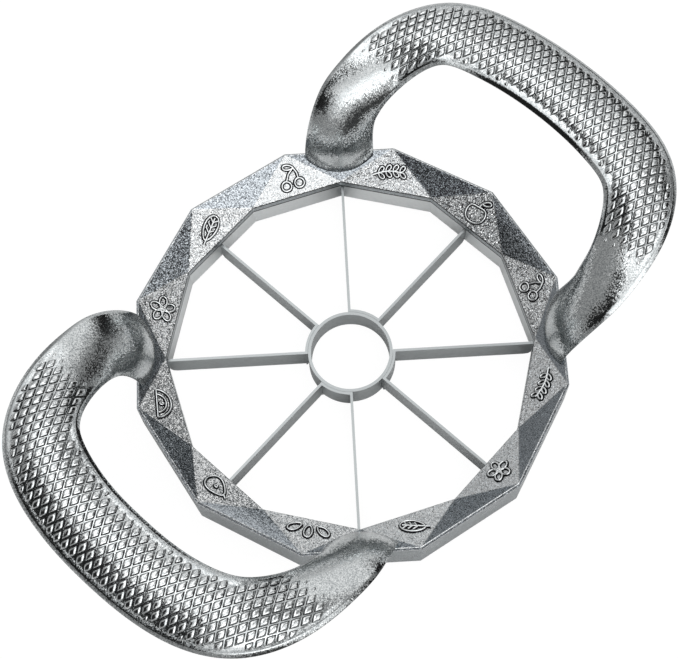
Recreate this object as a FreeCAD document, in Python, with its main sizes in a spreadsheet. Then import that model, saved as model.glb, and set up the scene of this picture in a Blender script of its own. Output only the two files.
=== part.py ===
import FreeCAD, Part
import math
import os

import Sketcher

# Apple slicer: a twelve-sided faceted ring, eight blades round a core tube, and two raised loop handles.
# X runs through both handles and Z points up.
# The origin is on the axis of the core tube, level with the cutting edges.

SIDES = 12
STEP = 360 / SIDES
HALF_STEP = STEP / 2
STRIP_COUNT = 4
STRIP_SPAN = 45
FOOT_ANGLES = (45, -45, 135, -135)
HALF_SECTIONS = 24

SIZES = {
    # Faceted ring, heights above the underside of its wall
    "ring_lift": 2.6,
    "inner_radius": 48.5,
    "ring_width": 9.0,
    "wall_height": 13.4,
    "rim_bevel": 0.6,
    "inner_height": 8.4,
    # Slotted band seated in a rebate inside the ring
    "band_thickness": 0.9,
    "band_seat": 5.8,
    "band_drop": 0.5,
    "slot_floor": 1.5,
    "slot_gap": 0.05,
    # Blades, each strip folded round an eighth of the core tube
    "blade_thickness": 0.7,
    "blade_height": 8.3,
    "blade_offset": 0.35,
    "blade_tip_gap": 0.1,
    "edge_height": 1.2,
    "edge_flat": 0.1,
    "blade_end_run": 1.6,
    "blade_end_rise": 2.2,
    # Core tube
    "core_radius": 11.2,
    "core_wall": 0.8,
    "wrap_gap": 0.05,
    # Handle section: a crowned strap, bevelled along both edges and rounded underneath
    "foot_inset": 4.7,
    "foot_width": 18.8,
    "foot_crown": 2.6,
    "foot_belly": 2.2,
    "foot_depth": 8.0,
    "neck_width": 17.0,
    "neck_crown": 1.5,
    "elbow_width": 16.5,
    "grip_width": 20.0,
    "grip_crown": 2.6,
    "grip_belly": 3.0,
    "edge_run": 1.0,
    "edge_drop": 0.8,
    # Handle path from the foot to the middle of the grip
    # Each point lies out from the foot along X, aside from it along Y and above the ring's rim
    "neck_out": 7.4,
    "neck_aside": 3.0,
    "neck_rise": 16.0,
    "elbow_out": 14.0,
    "elbow_aside": 3.2,
    "elbow_rise": 19.7,
    "shoulder_out": 35.9,
    "shoulder_aside": -6.1,
    "shoulder_rise": 26.7,
    "corner_out": 41.4,
    "corner_aside": -18.6,
    "corner_rise": 25.8,
    "grip_out": 43.2,
    "grip_rise": 25.7,
    # Screws that hold the handle feet from below
    "screw_inset": 4.4,
    "screw_diameter": 2.0,
    "screw_length": 14.0,
    "screw_head": 3.8,
    "screw_head_height": 2.0,
    "screw_socket": 1.5,
    "socket_depth": 1.0,
    "screw_sink": 3.0,
    "screw_gap": 0.1,
    "screw_end_gap": 0.5,
}

SCREW_CIRCLE = "Sizes.inner_radius + Sizes.screw_inset"

doc = FreeCAD.newDocument("AppleSlicer")
sheet = doc.addObject("Spreadsheet::Sheet", "Sizes")
for row, (alias, value) in enumerate(SIZES.items(), start=1):
    sheet.set(f"A{row}", alias)
    sheet.set(f"B{row}", str(value))
    sheet.setAlias(f"B{row}", alias)
doc.recompute()

UP = FreeCAD.Vector(0, 0, 1)


def size(alias):
    return float(sheet.get(alias))


def turn(degrees, shift=(0, 0, 0)):
    return FreeCAD.Placement(FreeCAD.Vector(*shift), FreeCAD.Rotation(UP, degrees))


def bind(thing, **expressions):
    for name, expression in expressions.items():
        thing.setExpression(name.replace("__", "."), expression)


def add(kind, label, **expressions):
    thing = doc.addObject(kind, label)
    thing.Label = label
    bind(thing, **expressions)
    return thing


def cylinder(label, radius, height, **places):
    return add("Part::Cylinder", label, Radius=radius, Height=height, **places)


def prism(label, sides, radius, height, degrees, **places):
    thing = add("Part::Prism", label, Circumradius=radius, Height=height, **places)
    thing.Polygon = sides
    thing.Placement = turn(degrees)
    return thing


def cut(label, base, tools):
    tool = tools[0]
    if len(tools) > 1:
        tool = doc.addObject("Part::MultiFuse", label + "_cuts")
        tool.Shapes = tools
    thing = doc.addObject("Part::Cut", label)
    thing.Label = label
    thing.Base = base
    thing.Tool = tool
    return thing


def at_angle(radius, degrees):
    """Expressions for a place on a circle about the core axis."""
    return {
        "Placement__Base__x": f"({radius}) * cos({degrees})",
        "Placement__Base__y": f"({radius}) * sin({degrees})",
    }


def sketch_on(body, role, name, corners):
    """A closed outline on one of the body's own planes, each corner bound to the sheet."""
    plane = next(item for item in body.Origin.OriginFeatures if item.Role == role)
    sketch = body.newObject("Sketcher::SketchObject", name)
    sketch.AttachmentSupport = [(plane, "")]
    sketch.MapMode = "FlatFace"
    count = len(corners)
    start = [
        FreeCAD.Vector(math.cos(2 * math.pi * n / count), math.sin(2 * math.pi * n / count), 0)
        for n in range(count)
    ]
    for n in range(count):
        sketch.addGeometry(Part.LineSegment(start[n], start[(n + 1) % count]), False)
    for n in range(count):
        sketch.addConstraint(Sketcher.Constraint("Coincident", n, 2, (n + 1) % count, 1))
    for n, corner in enumerate(corners):
        for kind, axis, expression in (("DistanceX", -2, corner[0]), ("DistanceY", -1, corner[1])):
            if expression == "0":
                sketch.addConstraint(Sketcher.Constraint("PointOnObject", n, 1, axis))
                continue
            index = sketch.addConstraint(Sketcher.Constraint(kind, -1, 1, n, 1, 1.0))
            sketch.renameConstraint(index, f"{kind}_{n}")
            sketch.setExpression(f".Constraints.{kind}_{n}", expression)
    return sketch


def dodecagon(radius, height, degrees):
    return [
        FreeCAD.Vector(
            radius * math.cos(math.radians(degrees + STEP * n)),
            radius * math.sin(math.radians(degrees + STEP * n)),
            height,
        )
        for n in range(SIDES)
    ]


def plate(points):
    return Part.Face(Part.makePolygon(points + points[:1]))


def make_ring_blank():
    """The ring before machining: alternate triangles join an outer and an inner dodecagon."""
    bottom = size("ring_lift")
    top = bottom + size("wall_height")
    bevel = size("rim_bevel")
    wall = size("inner_radius") + size("ring_width")
    rim = wall - bevel / math.cos(math.radians(HALF_STEP))
    wall_low = dodecagon(wall, bottom, 0)
    wall_high = dodecagon(wall, top - bevel, 0)
    outer = dodecagon(rim, top, 0)
    inner = dodecagon(size("inner_radius"), bottom + size("inner_height"), HALF_STEP)
    inner_low = dodecagon(size("inner_radius"), bottom, HALF_STEP)
    faces = []
    for n in range(SIDES):
        after = (n + 1) % SIDES
        faces.append(plate([wall_low[n], wall_low[after], wall_high[after], wall_high[n]]))
        faces.append(plate([wall_high[n], wall_high[after], outer[after], outer[n]]))
        faces.append(plate([outer[n], outer[after], inner[n]]))
        faces.append(plate([inner[n], outer[after], inner[after]]))
        faces.append(plate([inner[n], inner[after], inner_low[after], inner_low[n]]))
    outline = Part.makePolygon(wall_low + wall_low[:1])
    hole = Part.makePolygon(inner_low + inner_low[:1])
    faces.append(Part.Face(outline).cut(Part.Face(hole)).Faces[0])
    shell = Part.Shell(faces)
    blank = doc.addObject("Part::Feature", "ring_blank")
    blank.Shape = Part.Solid(shell)
    return blank


def foot_places(angles):
    """A bore and a head recess under each handle foot."""
    tools = []
    for degrees in angles:
        name = f"foot_{degrees % 360}"
        place = at_angle(SCREW_CIRCLE, degrees)
        tools.append(
            cylinder(
                name + "_bore",
                "Sizes.screw_diameter / 2 + Sizes.screw_gap",
                "Sizes.ring_lift + Sizes.wall_height",
                **place,
            )
        )
        tools.append(
            cylinder(
                name + "_recess",
                "Sizes.screw_head / 2 + Sizes.screw_gap",
                "Sizes.ring_lift + Sizes.screw_sink",
                **place,
            )
        )
    return tools


def make_frame_ring(blank):
    rebate = prism(
        "band_rebate",
        SIDES,
        f"Sizes.inner_radius + Sizes.band_thickness / cos({HALF_STEP})",
        "Sizes.ring_lift + Sizes.band_seat",
        HALF_STEP,
    )
    return cut("frame_ring", blank, [rebate] + foot_places(FOOT_ANGLES))


def make_blade_band():
    low = "Sizes.ring_lift - Sizes.band_drop"
    tall = "Sizes.band_seat + Sizes.band_drop"
    outside = prism(
        "band_outside",
        SIDES,
        f"Sizes.inner_radius + Sizes.band_thickness / cos({HALF_STEP})",
        tall,
        HALF_STEP,
    )
    bind(outside, Placement__Base__z=low)
    inside = prism("band_inside", SIDES, "Sizes.inner_radius", tall, HALF_STEP)
    bind(inside, Placement__Base__z=low)
    tools = [inside]
    width = "(Sizes.blade_thickness + 2 * Sizes.slot_gap)"
    reach = "Sizes.inner_radius + 2 * Sizes.band_thickness"
    for n in range(2 * STRIP_COUNT):
        degrees = STRIP_SPAN * n
        side = 1 if n % 2 == 0 else -1
        shift = f"(({side}) * Sizes.blade_offset - {width} / 2)"
        slot = add(
            "Part::Box",
            f"blade_slot_{n + 1}",
            Length=reach,
            Width=width,
            Height=tall,
            Placement__Base__x=f"-{shift} * sin({degrees})",
            Placement__Base__y=f"{shift} * cos({degrees})",
            Placement__Base__z=f"{low} + Sizes.slot_floor",
        )
        slot.Placement = turn(degrees)
        tools.append(slot)
    return cut("blade_band", outside, tools)


def make_core_ring():
    """A thin tube, ground on the inside of its lower edge."""
    body = doc.addObject("PartDesign::Body", "core_ring")
    body.Label = "core_ring"
    inside = "Sizes.core_radius - Sizes.core_wall"
    corners = [
        ("Sizes.core_radius - Sizes.edge_flat", "0"),
        ("Sizes.core_radius", "0"),
        ("Sizes.core_radius", "Sizes.blade_height"),
        (inside, "Sizes.blade_height"),
        (inside, "Sizes.edge_height"),
    ]
    sketch = sketch_on(body, "XZ_Plane", "core_outline", corners)
    revolution = body.newObject("PartDesign::Revolution", "core_turned")
    revolution.Profile = sketch
    revolution.ReferenceAxis = (sketch, ["V_Axis"])
    revolution.Angle = 360
    return body


def blade_tip(degrees):
    """Distance from the core axis to the rebate wall along a blade."""
    if degrees % (2 * STRIP_SPAN):
        aside = "(Sizes.blade_offset + Sizes.blade_thickness / 2)"
        return f"(Sizes.inner_radius + Sizes.band_thickness - {aside} * tan({HALF_STEP}))"
    return f"(Sizes.inner_radius * cos({HALF_STEP}) + Sizes.band_thickness)"


def make_strip(number):
    """Two blades and the arc between them, folded round the core tube.

    The strip is drawn about its own middle line, and the body is then turned into place.
    """
    name = f"blade_strip_{number}"
    body = doc.addObject("PartDesign::Body", name)
    body.Label = name
    wrap_in = "(Sizes.core_radius + Sizes.wrap_gap)"
    wrap_out = f"({wrap_in} + Sizes.blade_thickness)"
    middle = f"({wrap_in} + Sizes.blade_thickness / 2)"
    half_edge = "Sizes.edge_flat / 2"
    corners = [
        (f"{middle} - {half_edge}", "0"),
        (f"{middle} + {half_edge}", "0"),
        (wrap_out, "Sizes.edge_height"),
        (wrap_out, "Sizes.blade_height"),
        (wrap_in, "Sizes.blade_height"),
        (wrap_in, "Sizes.edge_height"),
    ]
    sketch = sketch_on(body, "XZ_Plane", name + "_wrap_outline", corners)
    wrap = body.newObject("PartDesign::Revolution", name + "_wrap")
    wrap.Profile = sketch
    wrap.ReferenceAxis = (sketch, ["V_Axis"])
    wrap.Angle = STRIP_SPAN
    wrap.Midplane = True
    half_span = STRIP_SPAN / 2
    first = STRIP_SPAN * 2 * (number - 1)
    for side in (-1, 1):
        degrees = first if side < 0 else first + STRIP_SPAN
        end = "first" if side < 0 else "second"
        tip = f"{blade_tip(degrees)} - Sizes.blade_tip_gap"
        face = f"({blade_tip(degrees)} - Sizes.band_thickness - Sizes.slot_gap)"
        slot = "Sizes.ring_lift - Sizes.band_drop + Sizes.slot_floor + Sizes.slot_gap"
        outline = [
            (middle, "0"),
            (f"{face} - Sizes.blade_end_run", "0"),
            (face, "Sizes.blade_end_rise"),
            (face, slot),
            (tip, slot),
            (tip, "Sizes.blade_height"),
            (middle, "Sizes.blade_height"),
        ]
        sketch = sketch_on(body, "XZ_Plane", f"{name}_{end}_outline", outline)
        place_blade(sketch, side, half_span)
        blade = body.newObject("PartDesign::Pad", f"{name}_{end}_blade")
        blade.Profile = sketch
        blade.setExpression("Length", "Sizes.blade_thickness")
        blade.Midplane = True
        for flank in (-1, 1):
            bevel_edge(body, f"{name}_{end}", side, half_span, flank)
    body.Placement = turn(first + half_span)
    return body


def place_blade(sketch, side, half_span):
    """Turn a blade's upright plane to its direction, set off towards the inside of the strip."""
    spin = FreeCAD.Rotation(FreeCAD.Vector(0, 1, 0), side * half_span)
    sketch.AttachmentOffset = FreeCAD.Placement(FreeCAD.Vector(), spin)
    sketch.setExpression(
        ".AttachmentOffset.Base.x", f"Sizes.blade_offset * sin({half_span})"
    )
    sketch.setExpression(
        ".AttachmentOffset.Base.z", f"{side} * Sizes.blade_offset * cos({half_span})"
    )


def bevel_edge(body, name, side, half_span, flank):
    """Grind one flank of a blade down to its cutting edge."""
    thick = "Sizes.blade_thickness / 2"
    land = "Sizes.edge_flat / 2"
    corners = [
        (f"{flank} * {land}", "0"),
        (f"{flank} * 2 * {thick}", "0"),
        (f"{flank} * 2 * {thick}", "Sizes.edge_height"),
        (f"{flank} * {thick}", "Sizes.edge_height"),
    ]
    face = "left" if flank < 0 else "right"
    sketch = sketch_on(body, "YZ_Plane", f"{name}_{face}_bevel_outline", corners)
    spin = FreeCAD.Rotation(FreeCAD.Vector(0, 1, 0), side * half_span)
    sketch.AttachmentOffset = FreeCAD.Placement(FreeCAD.Vector(), spin)
    reach = "(Sizes.core_radius + Sizes.wrap_gap + Sizes.blade_thickness)"
    sideways = f"(-({side}) * Sizes.blade_offset)"
    sketch.setExpression(
        ".AttachmentOffset.Base.x",
        f"{reach} * {side} * sin({half_span}) + {sideways} * cos({half_span})",
    )
    sketch.setExpression(
        ".AttachmentOffset.Base.z",
        f"{reach} * cos({half_span}) - {sideways} * {side} * sin({half_span})",
    )
    grind = body.newObject("PartDesign::Pocket", f"{name}_{face}_bevel")
    grind.Profile = sketch
    grind.Reversed = True
    grind.setExpression("Length", "Sizes.inner_radius")
    return grind


def handle_path():
    """A smooth curve up from a foot and along to the middle of the grip.

    It runs on past the middle so that the grip stays smooth there.
    """
    across = (size("inner_radius") + size("foot_inset")) / math.sqrt(2)
    rim = FreeCAD.Vector(across, across, size("ring_lift") + size("wall_height"))
    half = [rim - UP * size("foot_depth")]
    for name in ("neck", "elbow", "shoulder", "corner"):
        half.append(rim + FreeCAD.Vector(*(size(f"{name}_{way}") for way in ("out", "aside", "rise"))))
    middle = FreeCAD.Vector(rim.x + size("grip_out"), 0, rim.z + size("grip_rise"))
    beyond = [FreeCAD.Vector(point.x, -point.y, point.z) for point in reversed(half[2:])]
    points = half[:1] + [rim] + half[1:] + [middle] + beyond
    upright = [n < 2 for n in range(len(points))]
    curve = Part.BSplineCurve()
    curve.interpolate(Points=points, Tangents=[UP] * len(points), TangentFlags=upright, Scale=False)
    stops = {"top": curve.parameter(points[1]), "middle": curve.parameter(middle)}
    for name, point in zip(("foot", "neck", "elbow", "shoulder", "corner"), half):
        stops[name] = curve.parameter(point)
    return curve, stops


def ease(value, stops):
    """Blend smoothly between values given at increasing stops."""
    for (low, first), (high, second) in zip(stops, stops[1:]):
        if value <= high:
            share = max(0.0, (value - low) / (high - low))
            share = share * share * (3 - 2 * share)
            return first + (second - first) * share
    return stops[-1][1]


def arc_handles(width, height):
    """How far along and across the control points of an arc of that width and height lie from its ends."""
    slope = 2 * math.atan(2 * height / width)
    reach = 2 / 3 * math.tan(slope / 2) * width / math.sin(slope)
    return reach * math.cos(slope), reach * math.sin(slope)


def strap_section(curve, stops, parameter):
    """Corners of the strap square to the path, with the control points of its crown and its belly."""
    point = curve.value(parameter)
    along = FreeCAD.Vector(*curve.tangent(parameter)[0])
    top, neck, elbow, shoulder, corner = (
        stops[name] for name in ("top", "neck", "elbow", "shoulder", "corner")
    )
    tangential = FreeCAD.Vector(-1, 1, 0).normalize()
    share = ease(parameter, [(neck, 0), (shoulder, 1)])
    across = tangential
    if share > 0:
        outward = FreeCAD.Vector(-along.y, along.x, 0).normalize()
        across = tangential * (1 - share) + outward * share
    across = across - along * across.dot(along)
    across.normalize()
    crown_way = along.cross(across)
    width = ease(
        parameter,
        [
            (top, size("foot_width")),
            (neck, size("neck_width")),
            (elbow, size("elbow_width")),
            (corner, size("grip_width")),
        ],
    )
    crown = ease(
        parameter,
        [
            (top, size("foot_crown")),
            (neck, size("neck_crown")),
            (corner, size("grip_crown")),
        ],
    )
    belly = ease(parameter, [(top, size("foot_belly")), (neck, size("grip_belly"))])
    flat = width - 2 * size("edge_run")
    left = point - across * (flat / 2)
    right = point + across * (flat / 2)
    low_left = point - across * (width / 2) - crown_way * size("edge_drop")
    low_right = point + across * (width / 2) - crown_way * size("edge_drop")
    run, rise = arc_handles(flat, crown)
    low_run, low_rise = arc_handles(width, belly - size("edge_drop"))
    return [
        left,
        left + crown_way * rise + across * run,
        right + crown_way * rise - across * run,
        right,
        low_right,
        low_right - crown_way * low_rise - across * low_run,
        low_left - crown_way * low_rise + across * low_run,
        low_left,
    ]


def strap_solid(sections):
    """Smooth sides through matching points of the sections, closed by a flat face at each foot."""
    steps = list(range(len(sections)))
    tracks = []
    for line in zip(*sections):
        track = Part.BSplineCurve()
        track.interpolate(Points=list(line), Parameters=steps)
        tracks.append(track)
    faces = []
    sides = ((0, 1, 2, 3), (3, 4), (4, 5, 6, 7), (7, 0))
    for group in sides:
        side = Part.BSplineSurface()
        side.buildFromPolesMultsKnots(
            [tracks[n].getPoles() for n in group],
            [len(group)] * 2,
            tracks[0].getMultiplicities(),
            [0, 1],
            tracks[0].getKnots(),
            False,
            False,
            len(group) - 1,
            tracks[0].Degree,
        )
        faces.append(side.toShape())
    for section in (sections[0], sections[-1]):
        edges = []
        for group in sides:
            edge = Part.BezierCurve()
            edge.setPoles([section[n] for n in group])
            edges.append(edge.toShape())
        faces.append(Part.Face(Part.Wire(edges)))
    shell = Part.Shell(faces)
    shell.sewShape()
    solid = Part.Solid(Part.Shell(shell.Faces))
    if solid.Volume < 0:
        solid.reverse()
    return solid


def make_handle(name, degrees, ring_blank, angles):
    """A loop handle whose feet are shaped to the facets and tapped from below."""
    curve, stops = handle_path()
    near = [
        strap_section(curve, stops, stops["middle"] * n / HALF_SECTIONS)
        for n in range(HALF_SECTIONS + 1)
    ]
    far = [
        [FreeCAD.Vector(point.x, -point.y, point.z) for point in points]
        for points in reversed(near[:-1])
    ]
    strap = doc.addObject("Part::Feature", name + "_strap")
    strap.Shape = strap_solid(near + far)
    strap.Placement = turn(degrees)
    tools = [ring_blank]
    for angle in angles:
        tools.append(
            cylinder(
                f"{name}_thread_{angle % 360}",
                "Sizes.screw_diameter / 2 + Sizes.screw_gap / 2",
                "Sizes.screw_sink + Sizes.screw_length + Sizes.screw_end_gap",
                Placement__Base__z="Sizes.ring_lift",
                **at_angle(SCREW_CIRCLE, angle),
            )
        )
    return cut(name, strap, tools)


def make_screws():
    """Socket-head screws, one up into each handle foot."""
    screws = []
    for degrees in FOOT_ANGLES:
        name = f"screw_{degrees % 360}"
        place = at_angle(SCREW_CIRCLE, degrees)
        seat = "Sizes.ring_lift + Sizes.screw_sink"
        shank = cylinder(
            name + "_shank",
            "Sizes.screw_diameter / 2",
            "Sizes.screw_length",
            Placement__Base__z=seat,
            **place,
        )
        head = cylinder(
            name + "_head",
            "Sizes.screw_head / 2",
            "Sizes.screw_head_height",
            Placement__Base__z=f"{seat} - Sizes.screw_head_height",
            **place,
        )
        body = doc.addObject("Part::MultiFuse", name + "_body")
        body.Shapes = [shank, head]
        socket = prism(
            name + "_socket",
            6,
            "Sizes.screw_socket / 2 / cos(30)",
            "Sizes.socket_depth",
            0,
            Placement__Base__z=f"{seat} - Sizes.screw_head_height",
            **place,
        )
        screws.append(cut(name, body, [socket]))
    group = doc.addObject("Part::Compound", "handle_screws")
    group.Label = "handle_screws"
    group.Links = screws
    return group


ring_blank = make_ring_blank()
parts = [
    make_frame_ring(ring_blank),
    make_blade_band(),
    make_core_ring(),
    make_handle("right_handle", 0, ring_blank, (45, -45)),
    make_handle("left_handle", 180, ring_blank, (135, -135)),
    make_screws(),
]
for strip_number in range(1, STRIP_COUNT + 1):
    parts.append(make_strip(strip_number))
doc.recompute()

for thing in doc.Objects:
    if "Invalid" in thing.State or "Error" in thing.State:
        raise RuntimeError(f"{thing.Label} did not compute: {thing.State}")
for part in parts:
    if part.Shape.isNull() or not part.Shape.isValid():
        raise RuntimeError(f"{part.Label} has no valid shape")
os.makedirs("parts", exist_ok=True)
for part in parts:
    box = part.Shape.BoundBox
    print(
        f"{part.Label}: {len(part.Shape.Solids)} solid, {part.Shape.Volume:.1f} mm3, "
        f"x {box.XMin:.2f} {box.XMax:.2f}, y {box.YMin:.2f} {box.YMax:.2f}, z {box.ZMin:.2f} {box.ZMax:.2f}"
    )
    part.Shape.exportStep(f"parts/{part.Label}.step")
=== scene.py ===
import math

import bmesh
import bpy
import numpy as np
from mathutils import Matrix, Vector


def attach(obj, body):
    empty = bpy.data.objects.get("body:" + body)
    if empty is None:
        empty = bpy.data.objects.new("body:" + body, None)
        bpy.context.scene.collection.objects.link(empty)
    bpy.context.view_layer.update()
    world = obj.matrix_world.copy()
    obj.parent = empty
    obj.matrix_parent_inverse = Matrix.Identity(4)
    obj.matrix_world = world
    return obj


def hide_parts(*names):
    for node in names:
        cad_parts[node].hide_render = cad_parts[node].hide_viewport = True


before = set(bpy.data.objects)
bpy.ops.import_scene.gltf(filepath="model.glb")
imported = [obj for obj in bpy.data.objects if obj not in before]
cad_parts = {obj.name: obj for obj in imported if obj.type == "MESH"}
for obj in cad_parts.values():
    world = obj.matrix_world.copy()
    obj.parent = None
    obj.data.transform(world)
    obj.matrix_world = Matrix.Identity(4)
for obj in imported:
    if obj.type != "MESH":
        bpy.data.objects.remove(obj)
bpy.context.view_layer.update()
mm = 0.001


def hexColour(code):  # sRGB hex to the linear values that Blender works in
    parts = [int(code[n:n + 2], 16) / 255 for n in (1, 3, 5)]
    return [p / 12.92 if p <= 0.04045 else ((p + 0.055) / 1.055) ** 2.4 for p in parts] + [1.0]


def addNode(tree, kind, settings=None, inputs=None):
    node = tree.nodes.new(kind)
    for name, value in (settings or {}).items():
        setattr(node, name, value)
    for name, value in (inputs or {}).items():
        socket = node.inputs[name]
        if isinstance(value, bpy.types.NodeSocket):
            tree.links.new(value, socket)
        else:
            socket.default_value = value
    return node


def mathNode(tree, operation, first, second=0.0):
    return addNode(tree, "ShaderNodeMath", {"operation": operation}, {0: first, 1: second}).outputs[0]


def vectorNode(tree, operation, inputs):
    return addNode(tree, "ShaderNodeVectorMath", {"operation": operation}, inputs).outputs


def rangeNode(tree, value, inside, outside=(0.0, 1.0), curve="LINEAR"):
    mapped = addNode(tree, "ShaderNodeMapRange", {"interpolation_type": curve}, {
        "Value": value, "From Min": inside[0], "From Max": inside[1],
        "To Min": outside[0], "To Max": outside[1]})
    return mapped.outputs[0]


def mixColour(tree, share, low, high):  # each end is a hex colour or a socket
    ends = [hexColour(end) if isinstance(end, str) else end for end in (low, high)]
    inputs = {"Factor": share, 6: ends[0], 7: ends[1]}
    return addNode(tree, "ShaderNodeMix", {"data_type": "RGBA"}, inputs).outputs[2]


def meshPiece(name, verts, faces, materials, scale=mm):
    mesh = bpy.data.meshes.new(name)
    mesh.from_pydata([[c * scale for c in v] for v in verts], [], faces)
    mesh.validate()
    piece = bpy.data.objects.new(name, mesh)
    bpy.context.scene.collection.objects.link(piece)
    for material in materials:
        mesh.materials.append(material)
    return piece


def flatten(piece):  # what its modifiers make becomes its own plain mesh
    shape = bpy.data.meshes.new_from_object(piece.evaluated_get(bpy.context.evaluated_depsgraph_get()))
    piece.modifiers.clear()
    piece.data = shape
    return piece


def startMaterial(name):
    material = bpy.data.materials.new(name)
    material.use_nodes = True
    tree = material.node_tree
    tree.nodes.clear()
    return material, tree


finishSizes = {
    "grainMiddle": (0.5, 0.5, 0.5),
    "cloudScale": 120.0,
    "cloudDetail": 2.0,
    "roughnessSpread": (0.8, 1.25),
    "unshadedRange": (0.1, 0.85),
    "streakScale": 900.0,
    "streakDetail": 3.0,
    "streakStrength": 0.15,
    "streakHeight": 0.0001,
    "brushing": 0.3,
    "paintedSheenRange": (0.4, 0.7),
}


def finishMetal(tree, colour, roughness, normal, anisotropic=0.0):
    shader = addNode(tree, "ShaderNodeBsdfPrincipled", inputs={
        "Base Color": colour,
        "Metallic": 1.0,
        "Roughness": roughness,
        "Anisotropic": anisotropic,
        "Normal": normal,
    })
    addNode(tree, "ShaderNodeOutputMaterial", inputs={"Surface": shader.outputs["BSDF"]})


def platedZinc(name, dark, light, roughness, grit, tilt, foot=None):
    # bright plating over a die casting that was blasted with grit: each grain faces its own way and glints,
    # and where foot is given, painted shade darkens it towards that colour at the foot of pads and lines
    # and along edges; grit is in millimetres, and the real 0.1 mm is drawn twice as coarse so that it shows
    s = finishSizes
    material, tree = startMaterial(name)
    place = addNode(tree, "ShaderNodeTexCoord").outputs["Object"]
    grains = addNode(tree, "ShaderNodeTexVoronoi", inputs={"Vector": place, "Scale": 1 / mm / grit})
    centred = vectorNode(tree, "SUBTRACT", {0: grains.outputs["Color"], 1: s["grainMiddle"]})[0]
    lean = vectorNode(tree, "SCALE", {0: centred, "Scale": tilt})[0]
    face = addNode(tree, "ShaderNodeNewGeometry").outputs["Normal"]
    tipped = vectorNode(tree, "ADD", {0: face, 1: lean})[0]
    normal = vectorNode(tree, "NORMALIZE", {0: tipped})[0]
    shade = addNode(tree, "ShaderNodeSeparateXYZ", inputs={0: grains.outputs["Color"]})
    colour = mixColour(tree, shade.outputs["Y"], dark, light)
    cloud = addNode(tree, "ShaderNodeTexNoise", inputs={
        "Vector": place, "Scale": s["cloudScale"], "Detail": s["cloudDetail"]})
    spread = [roughness * share for share in s["roughnessSpread"]]
    rough = rangeNode(tree, cloud.outputs["Fac"], (0.0, 1.0), spread)
    # painted shade: the lower the attribute, the more of the foot colour is mixed in
    if foot:
        unshaded = addNode(tree, "ShaderNodeAttribute", {"attribute_name": "unshaded"}).outputs["Fac"]
        reach = rangeNode(tree, unshaded, s["unshadedRange"], curve="SMOOTHSTEP")
        colour = mixColour(tree, reach, foot, colour)
    finishMetal(tree, colour, rough, normal)
    return material


def brushedStainless(name, dark, light, edge, roughness, stretch):
    # rolled stainless strip, brushed along its length: fine streaks, a soft sheen,
    # and a painted highlight in the edge colour on faces that point up or down, such as the strips' top edges
    s = finishSizes
    material, tree = startMaterial(name)
    place = addNode(tree, "ShaderNodeTexCoord").outputs["Object"]
    squeezed = addNode(tree, "ShaderNodeMapping", inputs={"Vector": place, "Scale": stretch})
    streaks = addNode(tree, "ShaderNodeTexNoise", inputs={
        "Vector": squeezed.outputs[0], "Scale": s["streakScale"], "Detail": s["streakDetail"]}).outputs["Fac"]
    way = addNode(tree, "ShaderNodeNewGeometry").outputs["True Normal"]
    upward = addNode(tree, "ShaderNodeSeparateXYZ", inputs={0: way}).outputs["Z"]
    # painted highlight: faces that point up or down take the even edge colour
    paintedSheen = rangeNode(tree, mathNode(tree, "ABSOLUTE", upward), s["paintedSheenRange"])
    colour = mixColour(tree, paintedSheen, mixColour(tree, streaks, dark, light), edge)
    bump = addNode(tree, "ShaderNodeBump", inputs={
        "Strength": s["streakStrength"], "Distance": s["streakHeight"], "Height": streaks})
    finishMetal(tree, colour, roughness, bump.outputs[0], s["brushing"])
    return material


blastedFacets = platedZinc("blastedPlatedZinc", "#8f9497", "#fafbfb", 0.16, 0.2, 0.5)
plainFacets = platedZinc("satinPlatedZinc", "#797f85", "#c4cacf", 0.17, 0.2, 0.34)
ringWalls = platedZinc("castZincWalls", "#868c8f", "#b9bec0", 0.28, 0.25, 0.1)
# painted shadow: near-black for the thin lines over the band and under the facets
ringPaintedShadow = platedZinc("paintedShadowLines", "#0e1011", "#24282a", 0.45, 0.25, 0.1)
# the last colour of each of the next three is painted shade, at the foot of lines and pads and along the
# strap's edges
motifZinc = platedZinc("raisedPlatedZinc", "#d0d4d6", "#f8fafa", 0.16, 0.25, 0.1, "#1c1f21")
brightChrome = platedZinc("brightPlatedZinc", "#9fa4a6", "#e6e9e9", 0.1, 0.22, 0.14, "#3f4447")
knurlChrome = platedZinc("knurledPlatedZinc", "#a6abad", "#f6f8f8", 0.1, 0.25, 0.08, "#1b1f21")
# the third colour of each is a painted highlight on faces that point up or down
bladeSteel = brushedStainless("brushedStainlessStrip", "#767b7c", "#b6babb", "#a3a7a8", 0.34, (1, 1, 8))
bandSteel = brushedStainless("brushedStainlessBand", "#d2d5d6", "#f0f2f2", "#f6f8f8", 0.4, (1, 1, 10))
screwSteel = brushedStainless("turnedStainlessScrew", "#85898b", "#b4b8ba", "#c4c8ca", 0.3, (1, 1, 1))
print("materials made")


# Lengths here and below are in millimetres; facetRise is the least upward part of a facet's normal.
ringMetals = [blastedFacets, plainFacets, ringWalls, ringPaintedShadow]
ringSizes = {
    "sides": 12,
    "top": 16.0,
    "innerTop": 11.0,
    "wallRadius": 57.5,
    "innerRadius": 48.5,
    "bevel": 0.6,
    "facetFoot": 10.5,
    "facetRise": 0.5,
    "weld": 0.001,
    "flatAngle": 1.0,
    "edgeAngle": 5.0,
    "edgeRound": 0.24,
    "edgeSteps": 2,
    "darkLines": ((8.4, 8.85), (10.5, 10.95)),
}


def paintFacets(shape):  # large facets lie over the middle of each side, plain ones between them
    step = math.degrees(2 * math.pi / ringSizes["sides"])
    for face in shape.faces:
        middle = face.calc_center_median()
        metal = ringWalls
        if face.normal.z > ringSizes["facetRise"] and middle.z > ringSizes["facetFoot"] * mm:
            around = math.degrees(math.atan2(middle.y, middle.x)) / step
            metal = blastedFacets if abs(around - round(around)) < 1 / 4 else plainFacets
        face.material_index = ringMetals.index(metal)


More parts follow.
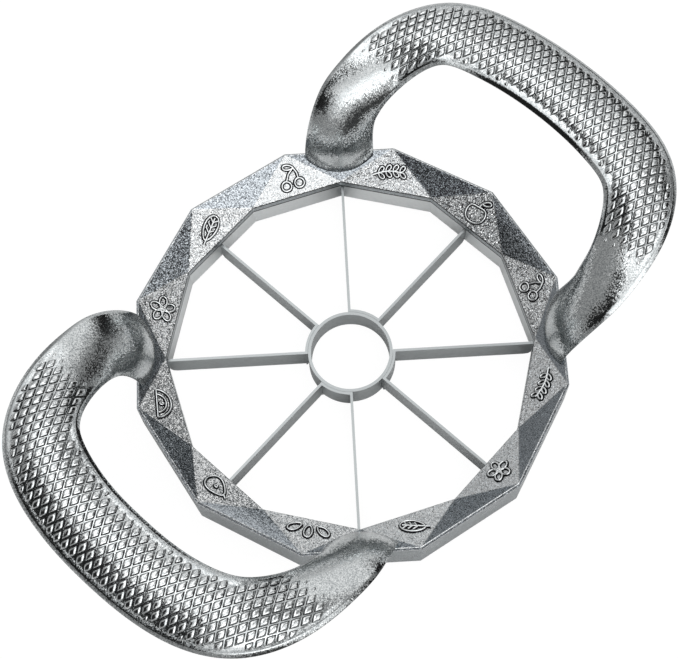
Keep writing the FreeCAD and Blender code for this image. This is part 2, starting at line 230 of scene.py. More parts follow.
def cutDarkLines(shape):  # painted shadow lines on the inner wall, under the facets and over the band
    for bottom, top in ringSizes["darkLines"]:
        for height in (bottom, top):
            everything = [*shape.verts, *shape.edges, *shape.faces]
            plane = {"plane_co": (0, 0, height * mm), "plane_no": (0, 0, 1)}
            bmesh.ops.bisect_plane(shape, geom=everything, **plane)
        for face in shape.faces:
            middle = face.calc_center_median()
            inward = face.normal.x * middle.x + face.normal.y * middle.y < 0
            steep = abs(face.normal.z) < ringSizes["facetRise"]
            if inward and steep and bottom * mm < middle.z < top * mm:
                face.material_index = ringMetals.index(ringPaintedShadow)


def makeRing():  # the ring's own solid, with its facets told apart and its upper edges softened
    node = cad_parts["frame_ring"]
    shape = bmesh.new()
    shape.from_mesh(node.data)
    bmesh.ops.transform(shape, matrix=node.matrix_world, verts=shape.verts)
    bmesh.ops.remove_doubles(shape, verts=shape.verts, dist=ringSizes["weld"] * mm)
    flat = math.radians(ringSizes["flatAngle"])
    bmesh.ops.dissolve_limit(shape, angle_limit=flat, verts=shape.verts, edges=shape.edges)
    paintFacets(shape)
    upper = [
        edge for edge in shape.edges
        if min(v.co.z for v in edge.verts) > ringSizes["facetFoot"] * mm
        and edge.calc_face_angle(0) > math.radians(ringSizes["edgeAngle"])
    ]
    bmesh.ops.bevel(shape, geom=upper, offset=ringSizes["edgeRound"] * mm, profile=0.5,
                    segments=ringSizes["edgeSteps"], affect="EDGES", clamp_overlap=True)
    cutDarkLines(shape)
    bmesh.ops.recalc_face_normals(shape, faces=shape.faces)
    mesh = bpy.data.meshes.new("ringCasting")
    shape.to_mesh(mesh)
    shape.free()
    piece = bpy.data.objects.new("ringCasting", mesh)
    bpy.context.scene.collection.objects.link(piece)
    for metal in ringMetals:
        mesh.materials.append(metal)
    return piece


ring = makeRing()
print("ring made")


motifSizes = {
    "line": 0.62,
    "stand": 0.5,
    "size": 6.3,
    "reach": 50.7,
    "rim": 1.08,
    "rimRise": 0.09,
    "unshadedRise": 2.2,
    "unshadedDrop": 1.25,
    "steps": 17,
}


def wave(count, make):
    return [make(n / (count - 1)) for n in range(count)]


def turned(line, degrees, shift=(0, 0), grow=1.0):
    a = math.radians(degrees)
    return [
        (
            shift[0] + grow * (x * math.cos(a) - y * math.sin(a)),
            shift[1] + grow * (x * math.sin(a) + y * math.cos(a)),
        )
        for x, y in line
    ]


# The outlines are drawn flat, in units of half a motif's size.
def petalLine(length, width):
    return wave(motifSizes["steps"], lambda t: (
        length * (1 - math.cos(2 * math.pi * t)) / 2,
        width * math.sin(2 * math.pi * t) * (0.6 + 0.4 * math.sin(math.pi * t)),
    ))


def arcLine(radius, start, sweep, height=0.0, count=motifSizes["steps"]):
    return wave(count, lambda t: (
        radius * math.cos(math.pi * (start + sweep * t)),
        radius * math.sin(math.pi * (start + sweep * t)) + height,
    ))


def ringLine(radius):
    return arcLine(radius, 0, 2)


def leafMotif():
    veins = [
        turned([(0, 0), (0.45, 0)], side * 48, (x, 0))
        for x in (-0.4, 0.05, 0.5) for side in (-1, 1)
    ]
    return [turned(petalLine(2.2, 0.62), 0, (-1.1, 0)), [(-1.5, -0.1), (0.9, 0)]] + veins


def appleMotif():
    body = wave(25, lambda t: (
        0.95 * math.sin(2 * math.pi * t) * (1 + 0.06 * math.cos(4 * math.pi * t)),
        0.85 * math.cos(2 * math.pi * t) - 0.28 * math.exp(-18 * min(t, 1 - t) ** 2 * 4),
    ))
    return [body, [(0, 0.55), (0.1, 0.9), (0.25, 1.15)], turned(petalLine(0.75, 0.2), 25, (0.2, 0.95))]


def blossomMotif():
    petals = [turned(petalLine(1.0, 0.34), 72 * n, (0, 0)) for n in range(5)]
    return petals + [ringLine(0.2)]


def pearMotif():
    body = wave(25, lambda t: (
        0.72 * math.sin(2 * math.pi * t) * (1 - 0.38 * math.cos(2 * math.pi * t)),
        math.cos(2 * math.pi * t),
    ))
    return [body, [(0, 1.0), (0.12, 1.35)], ringLine(0.12)]


def cherryMotif():
    return [
        turned(ringLine(0.42), 0, (-0.6, -0.5)),
        turned(ringLine(0.42), 0, (0.55, -0.35)),
        [(-0.55, -0.08), (-0.3, 0.5), (0.2, 1.0)],
        [(0.5, 0.05), (0.45, 0.55), (0.2, 1.0)],
        turned(petalLine(0.9, 0.24), 170, (0.2, 1.0)),
    ]


def sprigMotif():
    stem = wave(9, lambda t: (-1.3 + 2.6 * t, 0.25 * math.sin(math.pi * t)))
    leaves = [
        turned(petalLine(0.62, 0.18), side * 50, (x, 0.25 * math.sin(math.pi * (x + 1.3) / 2.6)))
        for x in (-0.8, -0.2, 0.4, 0.95) for side in (-1, 1)
    ]
    return [stem] + leaves


def wedgeMotif():
    rim, inner = (arcLine(radius, 1, 1, 0.6, 13) for radius in (1.3, 0.85))
    return [rim, [(-1.3, 0.6), (1.3, 0.6)], inner, turned(petalLine(0.35, 0.12), -90, (0, 0.35))]


def seedMotif():
    return [
        turned(petalLine(1.1, 0.34), 90 + lean, (0.75 * math.sin(math.radians(-lean)), -0.6))
        for lean in (-55, 0, 55)
    ]


# One for each large facet, with its turn in degrees and its share of the usual size.
motifShapes = [
    (appleMotif, 8, 1.0), (sprigMotif, 12, 1.05), (cherryMotif, -6, 1.0), (leafMotif, 20, 1.05),
    (blossomMotif, 10, 1.1), (wedgeMotif, -12, 0.95), (pearMotif, 80, 1.0), (seedMotif, 0, 1.1),
    (leafMotif, -28, 0.95), (blossomMotif, 40, 0.95), (sprigMotif, -15, 1.0), (cherryMotif, 14, 0.95),
]


def facetFrames():  # a point of each large facet, with its ways aside, up the slope and off the face
    s = ringSizes
    step = 2 * math.pi / s["sides"]
    inner = s["innerRadius"] * math.cos(step / 2)
    outer = s["wallRadius"] - s["bevel"] / math.cos(step / 2)
    slope = math.atan2(s["top"] - s["innerTop"], outer - inner)
    frames = []
    for n in range(s["sides"]):
        outward = Vector((math.cos(step * n), math.sin(step * n), 0))
        aside = Vector((-math.sin(step * n), math.cos(step * n), 0))
        upslope = outward * math.cos(slope) + Vector((0, 0, math.sin(slope)))
        normal = Vector((0, 0, math.cos(slope))) - outward * math.sin(slope)
        rise = s["innerTop"] + (motifSizes["reach"] - inner) * math.tan(slope)
        frames.append((outward * motifSizes["reach"] + Vector((0, 0, rise)), aside, upslope, normal))
    return frames


def makeLines(name, width, stand, flatness, top):
    # every outline as a bead of one width; flatness below 1 presses it to a rim, and top sets how much of it
    # is spared painted shade, none of it at 0
    frames = facetFrames()
    curve = bpy.data.curves.new(name, "CURVE")
    curve.dimensions = "3D"
    curve.bevel_depth = width / 2 * mm
    curve.bevel_resolution = 2
    curve.use_fill_caps = True
    for (shape, lean, grow), (centre, aside, upslope, normal) in zip(motifShapes, frames):
        for line in shape():
            spline = curve.splines.new("POLY")
            points = turned(line, lean, (0, 0), grow * motifSizes["size"] / 2)
            spline.points.add(len(points) - 1)
            for point, (x, y) in zip(spline.points, points):
                point.co = (*((centre + aside * -x + upslope * y + normal * stand) * mm), 1)
    holder = bpy.data.objects.new(name, curve)
    bpy.context.scene.collection.objects.link(holder)
    shape = bpy.data.meshes.new_from_object(holder.evaluated_get(bpy.context.evaluated_depsgraph_get()))
    bpy.data.objects.remove(holder)
    piece = bpy.data.objects.new(name, shape)
    bpy.context.scene.collection.objects.link(piece)
    shape.materials.clear()
    shape.materials.append(motifZinc)
    levels = []
    for vert in shape.vertices:
        turn = round(math.atan2(vert.co.y, vert.co.x) / (2 * math.pi) * len(frames)) % len(frames)
        centre, aside, upslope, normal = frames[turn]
        height = (vert.co / mm - centre).dot(normal)
        vert.co -= normal * (height - stand) * (1 - flatness) * mm
        # painted shade: the lower a point stands over the facet, the darker
        share = height / (stand + width / 2)
        levels.append(top * (share * motifSizes["unshadedRise"] - motifSizes["unshadedDrop"]))
    shape.attributes.new("unshaded", "FLOAT", "POINT").data.foreach_set("value", levels)
    for face in shape.polygons:
        face.use_smooth = True
    return piece


def makeMotifs():  # bright ridges with painted shade at their foot, in flat rims that are all painted shadow
    line, rim = motifSizes["line"], motifSizes["rim"]
    return [
        makeLines("ringMotifs", line, motifSizes["stand"] - line / 2, 1, 1),
        makeLines("motifRims", rim, 0, 2 * motifSizes["rimRise"] / rim, 0),
    ]


motifs = makeMotifs()
print("outlines made")


# The strap's middle line runs through neck, elbow, shoulder and corner, each given from the handle's foot
# on the ring's rim, to grip, which is given from it along x and z.
handleSizes = {
    "foot": 37.618,
    "rim": 16.0,
    "start": 10.0,
    "neck": (7.4, 3.0, 16.0),
    "elbow": (14.0, 3.2, 19.7),
    "shoulder": (35.9, -6.1, 26.7),
    "corner": (41.4, -18.6, 25.8),
    "grip": (43.2, 25.7),
    "footSection": {"width": 18.8, "crown": 2.6, "belly": 2.2},
    "neckSection": {"width": 17.0, "crown": 1.5, "belly": 3.0},
    "elbowWidth": 16.5,
    "gripSection": {"width": 20.0, "crown": 2.6},
    "edgeRun": 1.0,
    "edgeDrop": 0.8,
    "stations": 150,
    "crownSteps": 28,
    "bellySteps": 10,
    "footSteps": 6,
    "edgeSteps": 4,
    "rimSteps": 3,
    "edgeRound": 0.3,
    "creaseAngle": 40,
    "shrink": 0.02,
    "sheetSpan": 1.45,
    "sheetFall": 30,
}
# Painted shade on the strap and its pads: a value below 1 darkens the metal towards its shade colour, down the
# strap's sides, at the crown's rim, along the knurl's border and at the pads' foot.
paintedShadeSizes = {
    "edge": (0.7, 0.5, 0.45, 0.6),
    "corner": 0.7,
    "crown": 0.9,
    "knurlBorderShade": 0.42,
    "borderSpan": (0.8, 0.96),
    "padRise": 1.35,
}
# A pad's levels hold its share of the lozenge, its height and its roundness, from the foot up. A border holds
# where the knurl begins and is full along x, and where it starts to end and ends across the strap.
knurlSizes = {
    "pitch": 2.25,
    "lineAngle": 30.0,
    "depth": 0.55,
    "sink": 0.2,
    "levels": [(0.87, -0.15, 1.1), (0.85, 0.1, 1.1), (0.72, 0.6, 1.15), (0.54, 0.9, 1.3), (0.28, 1.02, 1.6)],
    "sides": 16,
    "rows": 121,
    "growRange": (0.15, 0.8),
    "smallest": 0.4,
    "castFrom": 1.0,
    "castLength": 2.0,
    "floor": (51.0, 62.0, 0.84, 1.0),
    "pads": (55.4, 58.0, 0.84, 0.98),
}


def splineThrough(points, firstSlope):  # a smooth cubic curve, leaving the first point along firstSlope
    points = np.array(points, float)
    knots = np.concatenate([[0], np.cumsum(np.linalg.norm(np.diff(points, axis=0), axis=1))])
    gaps = np.diff(knots)
    count = len(points)
    matrix = np.zeros((count, count))
    right = np.zeros((count, 3))
    rates = np.diff(points, axis=0) / gaps[:, None]
    matrix[0, 0], matrix[0, 1] = 2 * gaps[0], gaps[0]
    right[0] = 6 * (rates[0] - np.array(firstSlope))
    for n in range(1, count - 1):
        matrix[n, n - 1:n + 2] = gaps[n - 1], 2 * (gaps[n - 1] + gaps[n]), gaps[n]
        right[n] = 6 * (rates[n] - rates[n - 1])
    matrix[-1, -1] = 1
    bends = np.linalg.solve(matrix, right)

    def place(t):
        n = min(max(int(np.searchsorted(knots, t) - 1), 0), count - 2)
        a, b, gap = knots[n + 1] - t, t - knots[n], gaps[n]
        point = (bends[n] * a ** 3 + bends[n + 1] * b ** 3) / (6 * gap)
        point += (points[n] / gap - bends[n] * gap / 6) * a
        point += (points[n + 1] / gap - bends[n + 1] * gap / 6) * b
        slope = (bends[n + 1] * b ** 2 - bends[n] * a ** 2) / (2 * gap)
        slope += (points[n + 1] - points[n]) / gap - (bends[n + 1] - bends[n]) * gap / 6
        return point, slope / np.linalg.norm(slope)

    return place, knots


def handlePath():
    s = handleSizes
    rim = np.array([s["foot"], s["foot"], s["rim"]])
    names = ("neck", "elbow", "shoulder", "corner")
    half = [rim] + [rim + np.array(s[name]) for name in names]
    middle = np.array([s["foot"] + s["grip"][0], 0, s["rim"] + s["grip"][1]])
    beyond = [point * np.array([1, -1, 1]) for point in reversed(half[1:])]
    place, knots = splineThrough(half + [middle] + beyond, (0, 0, 1))
    return place, dict(zip(("top",) + names + ("middle",), knots))


def softStep(value, low, high):
    share = min(1.0, max(0.0, (value - low) / (high - low)))
    return share * share * (3 - 2 * share)


def ease(value, stops):
    for (low, first), (high, second) in zip(stops, stops[1:]):
        if value <= high:
            return first + (second - first) * softStep(value, low, high)
    return stops[-1][1]


def strapFrame(place, stops, t):
    s = handleSizes
    point, along = place(t)
    if t < 0:
        point, along = np.array([s["foot"], s["foot"], s["rim"] + t]), np.array([0, 0, 1.0])
    tangential = np.array([-1, 1, 0]) / math.sqrt(2)
    share = ease(t, [(stops["neck"], 0), (stops["shoulder"], 1)])
    across = tangential
    if share > 0:
        outward = np.array([-along[1], along[0], 0])
        across = tangential * (1 - share) + outward / np.linalg.norm(outward) * share
    across = across - along * across.dot(along)
    across /= np.linalg.norm(across)
    foot, neck, grip = s["footSection"], s["neckSection"], s["gripSection"]
    width = ease(t, [(0, foot["width"]), (stops["neck"], neck["width"]), (stops["elbow"], s["elbowWidth"]),
                     (stops["corner"], grip["width"])])
    crown = ease(t, [(0, foot["crown"]), (stops["neck"], neck["crown"]), (stops["corner"], grip["crown"])])
    belly = ease(t, [(0, foot["belly"]), (stops["neck"], neck["belly"])])
    sizes = [size - s["shrink"] for size in (width, crown, belly)]
    return point, across, np.cross(along, across), *sizes


def arcPoint(width, height, share):  # a point of an arc and the way it faces; share runs from -1 to 1
    slope = 2 * math.atan(2 * height / width)
    radius = width / 2 / math.sin(slope)
    angle = slope * share
    normal = np.array([math.sin(angle), math.cos(angle)])
    return normal * radius + np.array([0, height - radius]), normal


def roundedCorner(before, corner, after, size, count):
    before, corner, after = (np.array(point, float) for point in (before, corner, after))
    start = corner + (before - corner) * size / np.linalg.norm(before - corner)
    end = corner + (after - corner) * size / np.linalg.norm(after - corner)
    shares = np.linspace(0, 1, count)
    return [start * (1 - n) ** 2 + corner * 2 * n * (1 - n) + end * n * n for n in shares]


def knurlShare(point, share, border):  # 1 where the grip is knurled, falling to 0 at its borders
    begin, full, edge, end = knurlSizes[border]
    return softStep(point[0], begin, full) * (1 - softStep(abs(share), edge, end))


def strapProfile(point, across, crownWay, width, crown, belly):
    # one closed section, as points, each with its level of painted shade
    s = handleSizes
    flat = width - 2 * s["edgeRun"]
    drop, size = s["edgeDrop"], s["edgeRound"]

    def placed(spot):
        return point + across * spot[0] + crownWay * spot[1]

    under = []
    for n in range(1, s["bellySteps"]):
        (a, b), normal = arcPoint(width, belly - drop, 1 - 2 * n / s["bellySteps"])
        under.append((a, -drop - b))
    right, rightLow = (flat / 2, 0), (width / 2, -drop)
    left, leftLow = (-flat / 2, 0), (-width / 2, -drop)
    outline = roundedCorner(right, rightLow, under[0], size, s["edgeSteps"]) + under
    outline += roundedCorner(under[-1], leftLow, left, size, s["edgeSteps"])
    edge = paintedShadeSizes["edge"]
    last = len(outline) - 1
    result = [
        (placed(spot), min(edge[k] if k < len(edge) else 1 for k in (n, last - n)))
        for n, spot in enumerate(outline)
    ]
    inset = 1 - 2 * size / flat
    asides = [inset * (2 * n / s["crownSteps"] - 1) for n in range(s["crownSteps"] + 1)]
    over = [arcPoint(flat, crown, aside) for aside in asides]
    corners = roundedCorner(leftLow, left, over[0][0], size / 2, s["rimSteps"])
    result += [(placed(spot), paintedShadeSizes["corner"]) for spot in corners[:-1]]
    for aside, (spot, normal) in zip(asides, over):
        spot = placed(spot)
        sunk = knurlSizes["depth"] * knurlShare(spot, aside, "floor")
        # painted shade on the crown along the knurl's border
        border = softStep(spot[0], *knurlSizes["floor"][:2]) * softStep(abs(aside), *paintedShadeSizes["borderSpan"])
        unshaded = paintedShadeSizes["crown"] - paintedShadeSizes["knurlBorderShade"] * border
        result.append((spot - (across * normal[0] + crownWay * normal[1]) * sunk, unshaded))
    corners = roundedCorner(over[-1][0], right, rightLow, size / 2, s["rimSteps"])
    result += [(placed(spot), paintedShadeSizes["corner"]) for spot in corners[1:]]
    return result


def crownSheet(place, stops):  # the uncut crown, a little over-wide, that the pads are dropped on
    s = handleSizes
    rows = []
    for n in range(s["stations"] * 2 + 1):
        t = stops["middle"] * min(n, 2 * s["stations"] - n) / s["stations"]
        point, across, crownWay, width, crown, belly = strapFrame(place, stops, t)
        row = []
        for k in range(s["crownSteps"] + 1):
            share = s["sheetSpan"] * (2 * k / s["crownSteps"] - 1)
            (a, b), normal = arcPoint(width - 2 * s["edgeRun"], crown, share)
            spot = point + across * a + crownWay * b
            mask = knurlShare(spot, share, "pads") - s["sheetFall"] * max(0, abs(share) - 1)
            if n > s["stations"]:
                spot = spot * np.array([1, -1, 1])
            row.append((spot, mask))
        rows.append(row)
    return rows


def makeStrap(name, flip):
    place, stops = handlePath()
    s = handleSizes
    low = s["start"] - s["rim"]
    stations = [low * (1 - n / s["footSteps"]) for n in range(s["footSteps"])]
    stations += [stops["middle"] * n / s["stations"] for n in range(s["stations"] + 1)]
    near = [strapProfile(*strapFrame(place, stops, t)) for t in stations]
    far = [[(p * np.array([1, -1, 1]), share) for p, share in row] for row in reversed(near[:-1])]
    rows = near + far
    size = len(rows[0])
    verts = [tuple(p * np.array([flip, flip, 1])) for row in rows for p, share in row]
    faces = [
        (r * size + k, r * size + (k + 1) % size, (r + 1) * size + (k + 1) % size, (r + 1) * size + k)
        for r in range(len(rows) - 1) for k in range(size)
    ]
    faces.append(tuple(range(size)))
    faces.append(tuple(reversed(range((len(rows) - 1) * size, len(rows) * size))))
    strap = meshPiece(name, verts, faces, [brightChrome])
    shape = bmesh.new()
    shape.from_mesh(strap.data)
    bmesh.ops.recalc_face_normals(shape, faces=shape.faces)
    shape.to_mesh(strap.data)
    shape.free()
    for face in strap.data.polygons:
        face.use_smooth = len(face.vertices) == 4
    strap.data.set_sharp_from_angle(angle=math.radians(s["creaseAngle"]))
    # painted shade, read by the strap's material
    unshaded = strap.data.attributes.new("unshaded", "FLOAT", "POINT")
    unshaded.data.foreach_set("value", [share for row in rows for p, share in row])
    return strap


def padHalves():  # half of a lozenge's longer and shorter way
    angle = math.radians(knurlSizes["lineAngle"])
    side = knurlSizes["pitch"] / math.sin(2 * angle)
    return side * math.cos(angle), side * math.sin(angle)


def makePadShape():  # one domed lozenge pad: rings at growing height, ever smaller and rounder
    s = knurlSizes
    size = s["sides"]
    halfLong, halfShort = padHalves()
    verts, faces = [], []
    for share, height, roundness in s["levels"]:
        for n in range(size):
            x, y = (math.copysign(abs(v) ** (2 / roundness), v)
                    for v in (math.cos(2 * math.pi * n / size), math.sin(2 * math.pi * n / size)))
            verts.append((x * halfLong * share, y * halfShort * share, height))
    levels = len(s["levels"])
    for level in range(levels - 1):
        for n in range(size):
            a, b = level * size + n, level * size + (n + 1) % size
            faces.append((a, b, b + size, a + size))
    faces.append(tuple(range((levels - 1) * size, levels * size)))
    faces.append(tuple(reversed(range(size))))
    pad = meshPiece("padShape", verts, faces, [], 1.0)
    # painted shade: the lower a point sits on the pad, the darker
    unshaded = pad.data.attributes.new("unshaded", "FLOAT", "POINT")
    unshaded.data.foreach_set("value", [1 - (1 - height) * paintedShadeSizes["padRise"] for x, y, height in verts])
    for face in pad.data.polygons:
        face.use_smooth = True
    return pad


def knurlTree():
    tree = bpy.data.node_groups.new("knurlPads", "GeometryNodeTree")
    face = tree.interface
    face.new_socket("Geometry", in_out="INPUT", socket_type="NodeSocketGeometry")
    for name, kind in (("Pad", "Object"), ("Spacing X", "Float"), ("Spacing Y", "Float"), ("Depth", "Float"),
                       ("Sink", "Float"), ("Rows", "Int"), ("Metal", "Material")):
        face.new_socket(name, in_out="INPUT", socket_type="NodeSocket" + kind)
    face.new_socket("Geometry", in_out="OUTPUT", socket_type="NodeSocketGeometry")
    given = addNode(tree, "NodeGroupInput").outputs
    grid = addNode(tree, "GeometryNodeMeshGrid", inputs={
        "Size X": 1.0, "Size Y": 1.0, "Vertices X": given["Rows"], "Vertices Y": given["Rows"]})
    index = addNode(tree, "GeometryNodeInputIndex").outputs[0]
    middle = mathNode(tree, "FLOOR", mathNode(tree, "MULTIPLY", given["Rows"], 0.5))
    row = mathNode(tree, "FLOOR", mathNode(tree, "DIVIDE", index, given["Rows"]))
    column = mathNode(tree, "MODULO", index, given["Rows"])
    i, j = (mathNode(tree, "SUBTRACT", count, middle) for count in (row, column))
    x = mathNode(tree, "MULTIPLY", mathNode(tree, "ADD", i, j), given["Spacing X"])
    y = mathNode(tree, "MULTIPLY", mathNode(tree, "SUBTRACT", i, j), given["Spacing Y"])
    spot = addNode(tree, "ShaderNodeCombineXYZ", inputs={"X": x, "Y": y, "Z": 0.0})
    points = addNode(tree, "GeometryNodeMeshToPoints", inputs={
        "Mesh": grid.outputs["Mesh"], "Position": spot.outputs[0]})

    def dropped():  # casts each point straight down on the crown, and gives the point's own height too
        place = addNode(tree, "GeometryNodeInputPosition").outputs[0]
        parts = addNode(tree, "ShaderNodeSeparateXYZ", inputs={0: place}).outputs
        above = addNode(tree, "ShaderNodeCombineXYZ", inputs={
            "X": parts["X"], "Y": parts["Y"], "Z": knurlSizes["castFrom"]})
        mask = addNode(tree, "GeometryNodeInputNamedAttribute", {"data_type": "FLOAT"}, {
            "Name": "knurlShare"})
        ray = addNode(tree, "GeometryNodeRaycast", {"data_type": "FLOAT"}, {
            "Target Geometry": given["Geometry"], "Attribute": mask.outputs["Attribute"],
            "Source Position": above.outputs[0], "Ray Direction": (0.0, 0.0, -1.0),
            "Ray Length": knurlSizes["castLength"]})
        return ray.outputs, parts["Z"]

    grow = knurlSizes["growRange"]
    hit = dropped()[0]
    bare = addNode(tree, "FunctionNodeCompare", {"data_type": "FLOAT", "operation": "LESS_THAN"}, {
        "A": hit["Attribute"], "B": grow[0]})
    kept = addNode(tree, "GeometryNodeDeleteGeometry", {"domain": "POINT"}, {
        "Geometry": points.outputs[0], "Selection": bare.outputs[0]})
    pad = addNode(tree, "GeometryNodeObjectInfo", inputs={"Object": given["Pad"]})
    size = rangeNode(tree, hit["Attribute"], grow, (knurlSizes["smallest"] * mm, mm))
    growth = addNode(tree, "ShaderNodeCombineXYZ", inputs={"X": size, "Y": size, "Z": 1.0})
    copies = addNode(tree, "GeometryNodeInstanceOnPoints", inputs={
        "Points": kept.outputs[0], "Instance": pad.outputs["Geometry"], "Scale": growth.outputs[0]})
    real = addNode(tree, "GeometryNodeRealizeInstances", inputs={"Geometry": copies.outputs[0]})
    hit, height = dropped()  # a height of 1 in the pad lies on the crown itself
    lift = mathNode(tree, "MULTIPLY", mathNode(tree, "SUBTRACT", height, 1.0), given["Depth"])
    fade = mathNode(tree, "MULTIPLY", mathNode(tree, "SUBTRACT", 1.0, hit["Attribute"]), given["Sink"])
    rise = mathNode(tree, "SUBTRACT", lift, fade)
    push = vectorNode(tree, "SCALE", {0: hit["Hit Normal"], "Scale": rise})[0]
    settled = vectorNode(tree, "ADD", {0: hit["Hit Position"], 1: push})[0]
    moved = addNode(tree, "GeometryNodeSetPosition", inputs={
        "Geometry": real.outputs[0], "Selection": hit["Is Hit"], "Position": settled})
    whole = addNode(tree, "GeometryNodeRealizeInstances", inputs={"Geometry": moved.outputs[0]})
    painted = addNode(tree, "GeometryNodeSetMaterial", inputs={
        "Geometry": whole.outputs[0], "Material": given["Metal"]})
    addNode(tree, "NodeGroupOutput", inputs={"Geometry": painted.outputs[0]})
    return tree


def makeKnurl(name, tree, pad, flip):
    place, stops = handlePath()
    rows = crownSheet(place, stops)
    size = len(rows[0])
    verts = [tuple(spot * np.array([flip, flip, 1])) for row in rows for spot, mask in row]
    faces = [
        (r * size + k, (r + 1) * size + k, (r + 1) * size + k + 1, r * size + k + 1)
        for r in range(len(rows) - 1) for k in range(size - 1)
    ]
    knurl = meshPiece(name, verts, faces, [])
    shape = bmesh.new()
    shape.from_mesh(knurl.data)
    bmesh.ops.recalc_face_normals(shape, faces=shape.faces)
    if sum(f.normal.z for f in shape.faces) < 0:
        bmesh.ops.reverse_faces(shape, faces=shape.faces)
    shape.to_mesh(knurl.data)
    shape.free()
    masks = knurl.data.attributes.new("knurlShare", "FLOAT", "POINT")
    masks.data.foreach_set("value", [mask for row in rows for spot, mask in row])
    halfLong, halfShort = padHalves()
    drive = knurl.modifiers.new("pads", "NODES")
    drive.node_group = tree
    values = {
        "Pad": pad,
        "Spacing X": halfLong * mm,
        "Spacing Y": halfShort * mm,
        "Depth": knurlSizes["depth"] * mm,
        "Sink": knurlSizes["sink"] * mm,
        "Rows": knurlSizes["rows"],
        "Metal": knurlChrome,
    }
    for item in tree.interface.items_tree:
        if item.item_type == "SOCKET" and item.in_out == "INPUT" and item.name in values:
            drive[item.identifier] = values[item.name]
    return flatten(knurl)


padShape = makePadShape()
padTree = knurlTree()
handles = {}
for name, flip in (("right", 1), ("left", -1)):
    handles[name] = (makeStrap(name + "Handle", flip), makeKnurl(name + "Knurl", padTree, padShape, flip))
    print(name, "handle made, pad faces", len(handles[name][1].data.polygons))
bpy.data.objects.remove(padShape)


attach(ring, "root")
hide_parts("frame_ring")
for lines in motifs:
    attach(lines, "root")
for name, (strap, knurl) in handles.items():
    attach(strap, "root")
    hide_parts(name + "_handle")
    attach(knurl, "root")

nodeMetals = {"blade_band": bandSteel, "core_ring": bladeSteel, "handle_screws": screwSteel}
for n in range(1, 5):
    nodeMetals[f"blade_strip_{n}"] = bladeSteel
for node, metal in nodeMetals.items():
    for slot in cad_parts[node].material_slots:
        slot.material = metal
print("pieces dressed")


studio = {
    "floor": "#f0f0f0",
    "floorSize": 3.0,
    "glowShare": 0.9,
    "glow": 1.06,
    "world": 0.36,
    "darkest": 0.02,
    "boxEdge": (1.45, 0.55),
    "lampAway": 0.9,
    "lampSize": 0.4,
    "cameraTilt": (-20.559, -1.384, 47.895),
    "cameraPlace": (-96.572, -95.753, 387.007),
    "lens": 80.77,
    "sensor": 36.0,
    "nearest": 0.01,
}


def makeFloor():  # a pale table, shown white to the camera but for the soft shadow
    material, tree = startMaterial("paleFloor")
    seen = addNode(tree, "ShaderNodeLightPath").outputs["Is Camera Ray"]
    share = mathNode(tree, "MULTIPLY", seen, studio["glowShare"])
    plain = addNode(tree, "ShaderNodeBsdfDiffuse", inputs={"Color": hexColour(studio["floor"])})
    glow = addNode(tree, "ShaderNodeEmission", inputs={
        "Color": hexColour("#ffffff"), "Strength": studio["glow"]})
    mixed = addNode(tree, "ShaderNodeMixShader", inputs={0: share, 1: plain.outputs[0], 2: glow.outputs[0]})
    addNode(tree, "ShaderNodeOutputMaterial", inputs={"Surface": mixed.outputs[0]})
    s = studio["floorSize"]
    corners = [(-s, -s, 0), (s, -s, 0), (s, s, 0), (-s, s, 0)]
    floor = meshPiece("floor", corners, [(0, 1, 2, 3)], [material], 1.0)


def cameraMatrix():
    rx, ry, rz = (Matrix.Rotation(math.radians(a), 3, way) for a, way in zip(studio["cameraTilt"], "XYZ"))
    turn = (rx @ ry @ rz).transposed().to_4x4()
    return Matrix.Translation(Vector(studio["cameraPlace"]) * mm) @ turn


# Soft boxes and dark cards round the object: each is an angle from the line that runs to the camera,
# a way round that line from the picture's right, a half width, all in degrees, and the light it adds or takes.
softBoxes = [
    (16, -85, 27, 0.7),
    (35, -36, 14, 0.85),
    (14, -12, 12, 0.4),
    (38, 7, 20, 1.0),
    (25, 105, 16, 0.7),
    (42, 105, 20, 0.65),
    (80, 81, 26, 0.6),
    (59, 124, 16, 0.4),
    (39, -146, 12, -0.9),
    (34, 161, 9, -0.85),
    (53, -169, 15, -0.8),
    (44, -162, 12, -0.75),
    (99, 53, 19, -0.85),
    (66, 15, 16, -0.8),
    (56, -66, 17, -0.3),
    (76, -21, 13, -0.3),
]


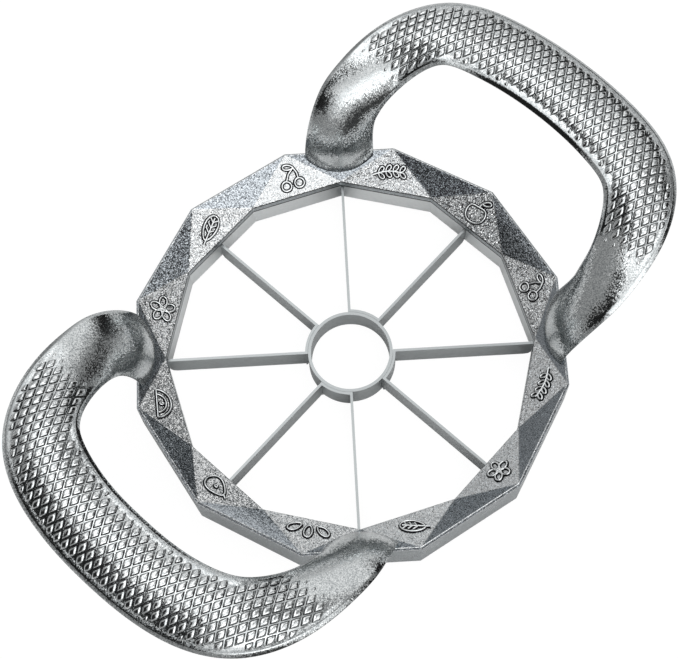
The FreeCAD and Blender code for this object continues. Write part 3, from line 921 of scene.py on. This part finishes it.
def skyWay(off, turn):
    off, turn = math.radians(off), math.radians(turn)
    return Vector((math.sin(off) * math.cos(turn), math.sin(off) * math.sin(turn), math.cos(off)))


def makeWorld():
    world = bpy.data.worlds.new("softStudio")
    world.use_nodes = True
    tree = world.node_tree
    tree.nodes.clear()
    way = addNode(tree, "ShaderNodeTexCoord").outputs["Generated"]
    axes = cameraMatrix().to_3x3()
    level = studio["world"]
    for off, turn, width, strength in softBoxes:
        dot = vectorNode(tree, "DOT_PRODUCT", {0: way, 1: axes @ skyWay(off, turn)})["Value"]
        edges = [math.cos(math.radians(width * share)) for share in studio["boxEdge"]]
        level = mathNode(tree, "ADD", rangeNode(tree, dot, edges, (0.0, strength), "SMOOTHSTEP"), level)
    level = mathNode(tree, "MAXIMUM", level, studio["darkest"])
    seen = addNode(tree, "ShaderNodeLightPath").outputs["Is Camera Ray"]
    shown = addNode(tree, "ShaderNodeMix", {"data_type": "FLOAT"}, {0: seen, 2: level, 3: 1.0})
    sky = addNode(tree, "ShaderNodeBackground", inputs={
        "Color": hexColour("#ffffff"), "Strength": shown.outputs[0]})
    addNode(tree, "ShaderNodeOutputWorld", inputs={"Surface": sky.outputs[0]})
    bpy.context.scene.world = world


def softLamp(name, off, turn, power):
    lamp = bpy.data.lights.new(name, "AREA")
    lamp.size = studio["lampSize"]
    lamp.energy = power
    holder = bpy.data.objects.new(name, lamp)
    holder.location = cameraMatrix().to_3x3() @ skyWay(off, turn) * studio["lampAway"]
    holder.rotation_euler = (-holder.location).to_track_quat("-Z", "Y").to_euler()
    bpy.context.scene.collection.objects.link(holder)


makeFloor()
makeWorld()
softLamp("keyLamp", 18, -82, 0.45)
softLamp("fillLamp", 44, 105, 0.3)

lens = bpy.data.cameras.new("photoCamera")
lens.sensor_width = studio["sensor"]
lens.lens = studio["lens"]
lens.clip_start = studio["nearest"]
camera = bpy.data.objects.new("photoCamera", lens)
bpy.context.scene.collection.objects.link(camera)
camera.matrix_world = cameraMatrix()
bpy.context.scene.camera = camera
bpy.context.scene.view_settings.view_transform = "Standard"
print("studio made")
